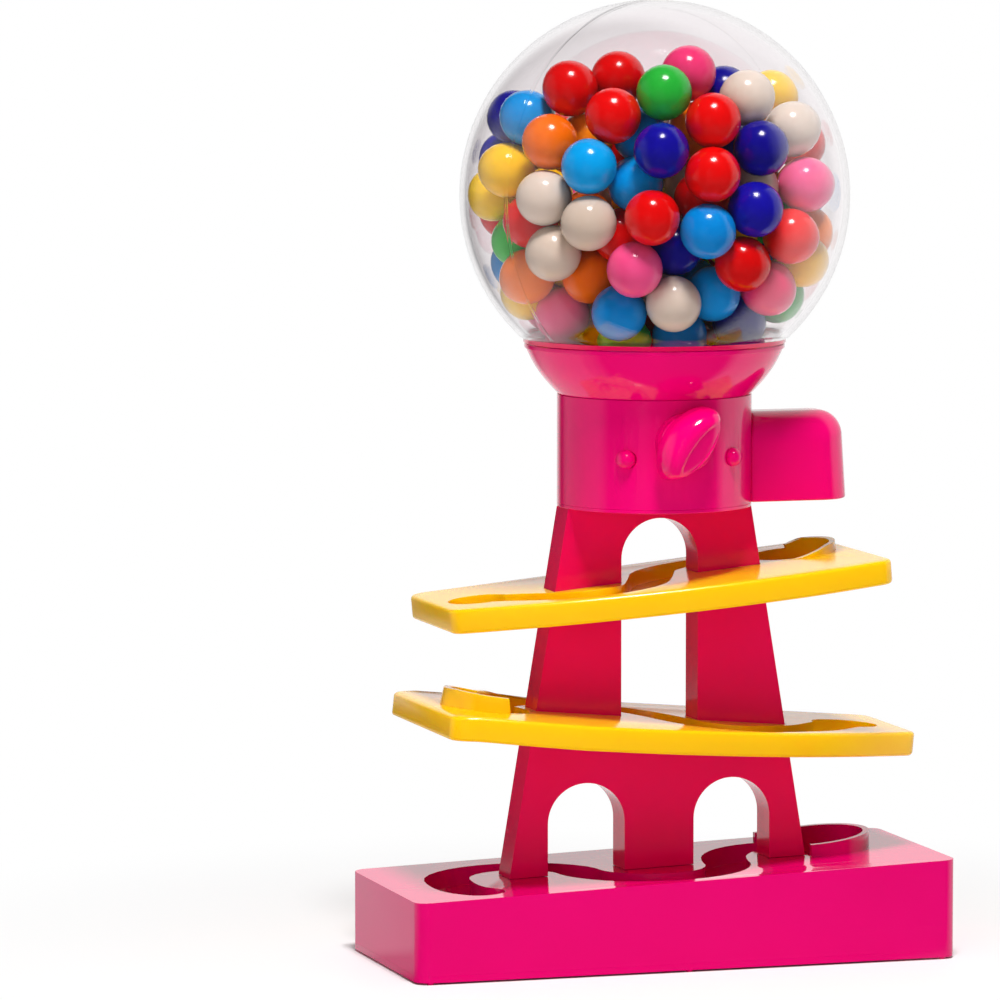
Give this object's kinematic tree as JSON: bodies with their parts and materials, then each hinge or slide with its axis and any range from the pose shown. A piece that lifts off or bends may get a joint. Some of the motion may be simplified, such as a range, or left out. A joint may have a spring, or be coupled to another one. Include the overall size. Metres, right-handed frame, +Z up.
{
  "type": "toy gumball machine",
  "caption": "Toy gumball machine: a clear globe on a drum with a turning knob, over a tapered tower whose two tilted tracks and wedge base carry the gumball down.",
  "frame": {"origin": "centre of the base's footprint, on the surface the machine stands on", "axes": "+Z up, -Y to the front where the knob is, +X to the side of the exit hood"},
  "size_m": [0.136, 0.094, 0.2313],
  "materials": {
    "magenta_plastic": "high gloss",
    "yellow_plastic": "high gloss",
    "clear_plastic": "clear, polished",
    "screw_steel": "zinc plated",
    "candy_red": "candy glaze",
    "candy_orange": "candy glaze",
    "candy_yellow": "candy glaze",
    "candy_white": "candy glaze",
    "candy_light_blue": "candy glaze",
    "candy_royal_blue": "candy glaze",
    "candy_pink": "candy glaze",
    "candy_green": "candy glaze"
  },
  "bodies": {
    "stand": {"base_shell": "magenta_plastic", "base_cover": "magenta_plastic", "tower_front": "magenta_plastic", "tower_back": "magenta_plastic", "drum_floor": "magenta_plastic", "drum": "magenta_plastic", "ball_chute": "magenta_plastic", "chute_pins": "magenta_plastic", "exit_hood": "magenta_plastic", "funnel": "magenta_plastic", "lower_track": "yellow_plastic", "upper_track": "yellow_plastic", "cover_screws": "screw_steel", "foot_screws": "screw_steel", "tower_screws": "screw_steel", "floor_screws": "screw_steel"},
    "dial": {"knob": "magenta_plastic", "ball_wheel": "yellow_plastic"},
    "globe": {"globe": "clear_plastic", "gumballs_red": "candy_red", "gumballs_orange": "candy_orange", "gumballs_yellow": "candy_yellow", "gumballs_white": "candy_white", "gumballs_light_blue": "candy_light_blue", "gumballs_royal_blue": "candy_royal_blue", "gumballs_pink": "candy_pink", "gumballs_green": "candy_green"}
  },
  "joints": [
    {"name": "knob_turn", "type": "hinge", "parent": "stand", "child": "dial", "pos_m": [0, -0.0244, 0.1265], "axis": [0, -1, 0], "continuous": true},
    {"name": "globe_twist", "type": "hinge", "parent": "stand", "child": "globe", "pos_m": [0, 0, 0.149], "axis": [0, 0, 1], "range_deg": [0, 25]}
  ]
}
